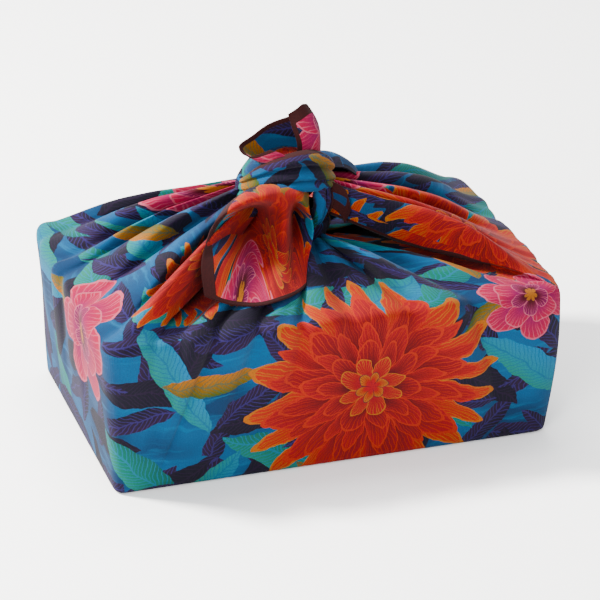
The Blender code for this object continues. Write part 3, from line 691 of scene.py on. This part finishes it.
first, second = np.arange(count), np.arange(count) + 1
low, high = np.arange(levels - 1), np.arange(1, levels)
faceCorners = ((first, low), (second, low), (second, high), (first, high))
uv = np.stack([np.stack([cornerU(a, k), alongLoop[a][:, k]], axis=-1) for a, k in faceCorners], axis=2) * mm
under = np.stack([looped[a][:, k, :2] for a, k in faceCorners], axis=2) * mm + np.array((0.30, -0.30))
uv[:, :bottomEnd] = under[:, :bottomEnd]

# distance to the hem: it shows on the right roll only, where it hangs out below the roll
hem = np.full((count, levels), noHem)
share = np.concatenate([np.zeros(wallEnd), topSteps])
hemFrom, hemTo = wrap["hemShows"]
hemWidth = wrap["rollHem"] * np.sin(math.pi * np.clip((share - hemFrom) / (hemTo - hemFrom), 0.001, 0.999))
for k in np.where(slit)[0]:
    for edgeColumn, way in ((k, -1), ((k + 1) % count, 1)):
        order = (edgeColumn + way * np.arange(10)) % count
        if kind[edgeColumn] == 1 and perStrip <= patch[edgeColumn] < perStrip + 4:
            hem[order] = np.minimum(hem[order], lengths(grid[order], 0) * facing / hemWidth)

cloth = gridPiece("wrappedCloth", grid, uv, hem, printedCotton, wrapU=True, keep=keep,
                  thickness=wrap["thickness"], offset=-1)
print("wrapped cloth:", count, "columns by", levels, "levels")


# The knots

# each band is a path of rows round the knot: x, y and height above the box, half width, tilt and depth in
# mm; its creases lie between -1 and 1 across it, a row of them for each stretch of the path
bands = {
    "frontBand": {
        "upright": True, "swell": 2.0, "fold": 5.6, "uv": (1.205, 1.345), "hem": 2.6,
        "rows": ((-32, 7, 46, 6, 0.2, 10), (-33, -3, 49, 8, 0.3, 11), (-28, -12, 55, 9.5, 0.4, 11),
                 (-16, -18, 61, 11.5, 0.5, 11), (-1, -18, 62.5, 12.5, 0.5, 11),
                 (11, -13, 59, 11.5, 0.4, 11),
                 (18, -4, 52, 9, 0.3, 11), (18, 7, 46, 7, 0.2, 10)),
        "creases": ((-1, -0.15, 0.40, 1), (-1, -0.25, 0.35, 1), (-1, -0.40, 0.25, 1), (-1, -0.50, 0.15, 1),
                    (-1, -0.40, 0.25, 1)),
    },
    "backBand": {
        "upright": True, "swell": 3.0, "fold": 4.0, "uv": (1.55, 0.20), "hem": 0,
        "rows": ((20, 0, 45, 6, -0.2, 7), (19, 11, 48, 9, -0.3, 8), (9, 20, 53, 11, -0.4, 8),
                 (-6, 23, 55, 11.5, -0.5, 8), (-20, 18, 52, 10, -0.4, 8), (-31, 8, 47, 8, -0.3, 8),
                 (-34, 0, 44, 6, -0.2, 7)),
        "creases": ((-1, -0.4, 0.2, 1), (-1, -0.3, 0.35, 1), (-1, -0.45, 0.15, 1)),
    },
    "returnBand": {
        "upright": False, "swell": 2.2, "fold": 3.0, "uv": (1.42, 1.31), "hem": 4.0,
        "rows": ((11, -11, 58, 7, 0.0, 6), (11, -16, 50, 8, 0.0, 6), (11, -18, 41, 7.5, 0.0, 6),
                 (9, -17, 32, 6, 0.0, 6), (5, -13, 24, 5, 0.0, 6)),
        "creases": ((-1, -0.2, 0.45, 1), (-1, -0.3, 0.4, 1), (-1, -0.1, 0.5, 1)),
    },
}
knotCentre = np.array((-7.0, 3.0))


def foldedBand(name, band):
    # a profile with folds is carried along a path round the knot; each fold is an arch between two creases
    sections, steps = 56, 49
    path = through(band["rows"], sections)
    creases = through(band["creases"], sections)
    spot = path[:, :3]
    along = np.gradient(spot, axis=0)
    along /= np.linalg.norm(along, axis=1)[:, None]
    outward = np.column_stack([spot[:, :2] - knotCentre, np.zeros(sections)])
    outward /= np.linalg.norm(outward, axis=1)[:, None]
    if band["upright"]:
        up = np.array((0, 0, 1.0)) - outward * np.abs(path[:, 4:5])
        up -= along * (up * along).sum(axis=1)[:, None]
        up /= np.linalg.norm(up, axis=1)[:, None]
        face = np.cross(along, up)
        face *= np.sign((face[:, :2] * (spot[:, :2] - knotCentre)).sum(axis=1))[:, None]
    else:
        up = np.cross(outward, along)
        up /= np.linalg.norm(up, axis=1)[:, None]
        face = np.cross(along, up)
        face *= -np.sign(face[:, 1:2])
    q = np.linspace(-1, 1, steps)[None]
    bulge = np.zeros((sections, steps))
    for a, b in zip(creases.T[:-1], creases.T[1:]):
        w = np.clip((q - a[:, None]) / (b - a)[:, None], 0, 1)
        arch = np.sqrt(np.clip(1 - (2 * w ** 0.5 - 1) ** 2, 0, 1))
        bulge = np.where((q >= a[:, None]) & (q <= b[:, None]), arch * (b - a)[:, None] * 1.3, bulge)
    half, deep = path[:, 3:4], path[:, 5:6]
    bulge = bulge * (half / half.max()) ** 2  # the folds flatten towards the band's narrow ends
    rise = band["swell"] * np.sqrt(1 - q ** 2) + band["fold"] * bulge * (1 - q ** 8) - 1.0
    frontHalf = spot[:, None] + up[:, None] * (half * q)[..., None] + face[:, None] * rise[..., None]
    q2 = np.linspace(1, -1, 14)[None, 1:-1]
    dip = -deep * np.sqrt(1 - q2 ** 2) ** 0.7
    backHalf = spot[:, None] + up[:, None] * (half * q2)[..., None] + face[:, None] * dip[..., None]
    ring = np.concatenate([frontHalf, backHalf, frontHalf[:, :1]], axis=1)
    ends = [np.repeat(ring[[k]].mean(axis=1, keepdims=True), ring.shape[1], axis=1) for k in (0, -1)]
    ring = np.concatenate([ends[0], ring, ends[1]], axis=0)
    uneven = waves(np.arange(sections)[:, None] * 0.22, np.linspace(0, 9, ring.shape[1])[None], 3)
    ring[1:-1] += squareTo(ring)[1:-1] * uneven[..., None] * 0.25
    ring[:, -1] = ring[:, 0]
    uv = np.stack([lengths(ring, 0), lengths(ring, 1)], axis=-1) * mm + np.array(band["uv"])
    hem = np.full(ring.shape[:2], noHem)
    hem[:, :steps] = np.where(q > 0, hemAt((1 - q) * half.mean(), band["hem"]), noHem)
    return gridPiece(name, ring, uv, hem, printedCotton, closed=True)


hearts = {
    # centre above the box and radii in mm, place on the cloth map
    "upperKnotHeart": ((-7, 3, 52), (23, 17, 17), (0.10, 0.22)),
    "lowerKnotHeart": ((4, 1, 22), (16, 19, 14), (0.30, 0.12)),
}


def knotHeart(name, centre, radii, uvAt):
    # rounded heart of a knot: a ball with soft folds running round it
    angle = np.linspace(0, 2 * math.pi, 49)[:, None]
    tilt = np.linspace(-math.pi / 2, math.pi / 2, 25)[None]
    size = 1 + 0.05 * np.sin(5 * np.sin(tilt) + 1.3 * np.sin(angle) + 0.7) * np.cos(tilt) ** 2
    level = np.cos(tilt)
    ball = np.stack([np.cos(angle) * level, np.sin(angle) * level, np.sin(tilt) + 0 * angle], axis=-1)
    ball = ball * size[..., None] * np.array(radii) + np.array(centre) + np.array((0, 0, wrap["height"]))
    ball[-1] = ball[0]
    uv = np.stack([angle * radii[0] + 0 * tilt, tilt * radii[2] + 0 * angle], axis=-1) * mm + np.array(uvAt)
    return gridPiece(name, ball, uv, np.full(ball.shape[:2], noHem), printedCotton, closed=True)


for band in bands.values():
    rows = np.array(band["rows"], float)
    rows[:, 2] += wrap["height"]
    band["rows"] = rows
knotPieces = [foldedBand(name, band) for name, band in bands.items()]
knotPieces += [knotHeart(name, *heart) for name, heart in hearts.items()]
print("knots:", len(knotPieces), "pieces")


# The free ends

# each row is a line from the knot to the hem, x, y and height above the box in mm: for a long end its
# root, rise, crest, turn, fall and hem. Hems are the widths along the first, last and far edge in mm
tails = {
    "frontTail": {
        "uv": (1.800, 1.000), "hems": (7.5, 0, 2.8), "curl": 0.5,
        "rows": (
            ((-26, -8, 48), (-42, -18, 51), (-57, -32, 48), (-67, -44, 42), (-75, -56, 31), (-76, -66, 16)),
            ((-20, -8, 52), (-36, -22, 57), (-48, -38, 56), (-50, -25, 38), (-60, -54, 28), (-62, -71, 11)),
            ((-14, -8, 52), (-24, -22, 58), (-33, -37, 57), (-28, -2, 32), (-38, -41, 20), (-46, -73, 9)),
            ((-8, -8, 52), (-13, -22, 57), (-18, -33, 54), (-20, -38, 42), (-24, -47, 23), (-31, -70, 9)),
            ((-2, -8, 50), (-5, -20, 53), (-8, -29, 51), (-5, -10, 33), (-14, -39, 20), (-20, -64, 9)),
            ((3, -8, 46), (1, -18, 48), (-1, -25, 42), (0, -31, 31), (-7, -43, 19), (-13, -58, 10))),
    },
    "upBlade": {
        "uv": (0.965, 0.150), "hems": (3.0, 0, 7.0), "curl": 0.3,
        "rows": (((-4, -5, 56), (-3, -8, 74), (-6, -7, 85), (-8, -5, 93)),
                 ((2, -7, 56), (2, -10, 74), (0, -9, 86), (-3, -5, 96)),
                 ((8, -6, 56), (9, -8, 74), (7, -8, 86), (1, -4, 98)),
                 ((12, -2, 56), (13, -2, 72), (11, -2, 84), (4, -2, 97))),
    },
    "upWing": {
        "uv": (0.935, 0.165), "hems": (0, 0, 3.0), "curl": 0.3,
        "rows": (((6, 3, 56), (6, 3, 70), (3, 1, 82), (1, 0, 91)),
                 ((-8, 5, 56), (-10, 6, 68), (-13, 6, 78), (-15, 4, 85)),
                 ((-14, 2, 56), (-19, 4, 65), (-23, 4, 73), (-26, 3, 79)),
                 ((-18, -3, 56), (-24, -3, 64), (-30, -1, 70), (-36, -1, 75)),
                 ((-14, -9, 56), (-19, -12, 64), (-25, -10, 68), (-32, -6, 70)),
                 ((-5, -12, 58), (-8, -15, 68), (-14, -14, 73), (-20, -11, 75))),
    },
    "backTail": {
        "uv": (1.47, 0.15), "hems": (0, 3.0, 3.0), "curl": 0.5,
        "rows": (((8, 4, 44), (18, 6, 50), (31, 8, 49), (40, 12, 42), (46, 20, 33), (54, 30, 26)),
                 ((8, 10, 45), (18, 14, 53), (30, 18, 53), (41, 22, 45), (48, 30, 34), (58, 44, 22)),
                 ((6, 18, 44), (14, 24, 52), (25, 30, 51), (34, 36, 42), (40, 44, 31), (50, 60, 17)),
                 ((2, 22, 40), (8, 30, 47), (16, 38, 45), (24, 44, 37), (30, 52, 27), (36, 62, 17))),
    },
    "sideTail": {
        "uv": (0.02, 0.40), "hems": (6.0, 6.0, 7.0), "curl": 0.2,
        "rows": (((7, -8, 53), (17, -15, 52), (23, -18, 48), (25, -18, 42)),
                 ((7, -9, 46), (17, -17, 45), (24, -20, 40), (26, -20, 34)),
                 ((6, -9, 39), (15, -16, 37), (21, -19, 32), (23, -19, 27))),
    },
}


endThickness = 1.0  # mm


def clothTail(name, tail, across=44, along=44):
    # smooth sheet through a short table, a row per section and a column per line from the knot to the hem
    rows = np.array(tail["rows"], float)
    lines = through(np.swapaxes(rows, 0, 1), along)
    grid = np.swapaxes(through(np.swapaxes(lines, 0, 1), across), 0, 1)
    grid = np.swapaxes(grid, 0, 1)
    grid[..., 2] += wrap["height"]
    downRun, sideRun = lengths(grid, 1), lengths(grid, 0)
    total, width = downRun[:, -1:], sideRun[-1:, :]
    left, far, end = tail["hems"]
    hem = np.minimum(hemAt(sideRun, left), hemAt(width - sideRun, far))
    hem = np.minimum(np.minimum(hem, hemAt(total - downRun, end)), noHem)
    ripple = waves(np.linspace(0, 6, across)[:, None], np.linspace(0, 4, along)[None], 17, 8)
    share = downRun / total
    grid = grid + squareTo(grid) * (ripple * share * tail["curl"])[..., None]
    uv = np.stack([sideRun - width / 2, downRun], axis=-1) * mm + np.array(tail["uv"])
    piece = gridPiece(name, grid, uv, hem, printedCotton, thickness=endThickness)
    flat = (float(width.max()) * mm, float(total.mean()) * mm)
    area = float((np.diff(sideRun, axis=0)[:, 1:] * np.diff(downRun, axis=1)[1:]).sum()) * mm * mm
    share = min(max(area / (flat[0] * flat[1]), 0.31), 1.0)
    return piece


for name, tail in tails.items():
    clothTail(name, tail)
print("free ends:", len(tails))

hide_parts("furoshiki")


# The box, the floor and the finish


def slitShadeBoardMaterial(name):
    # Near-black board, calendered and matt: painted shade. The hidden box is made near black so that it is
    # seen only as a dark surface, a painted shadow, deep in the slits
    material = bpy.data.materials.new(name)
    material.use_nodes = True
    tree = material.node_tree
    shader = tree.nodes["Principled BSDF"]
    place = put(tree, "TexCoord", out=3)
    fibre = put(tree, "TexNoise", place, None, 900.0, 4.0)
    tree.links.new(mixColour(tree, fibre, "#131010", "#221C1A"), shader.inputs["Base Color"])
    shader.inputs["Roughness"].default_value = 0.7
    return material


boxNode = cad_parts["box"]
# the hidden box takes the near-black board: painted shade, so that the slits between the cloth layers read
# as deep shadow
boxNode.data.materials.clear()
boxNode.data.materials.append(slitShadeBoardMaterial("black board as painted slit shade"))

paper = bpy.data.materials.new("white paper sweep")
paper.use_nodes = True
paper.node_tree.nodes["Principled BSDF"].inputs["Base Color"].default_value = linear("#FCFBF9")
paper.node_tree.nodes["Principled BSDF"].inputs["Roughness"].default_value = 0.95
floorMesh = bpy.data.meshes.new("floor")
floorMesh.from_pydata([(-8, -8, 0), (8, -8, 0), (8, 8, 0), (-8, 8, 0)], [], [(0, 1, 2, 3)])
floorMesh.materials.append(paper)
floor = bpy.data.objects.new("floor", floorMesh)
scene.collection.objects.link(floor)

print("finished")
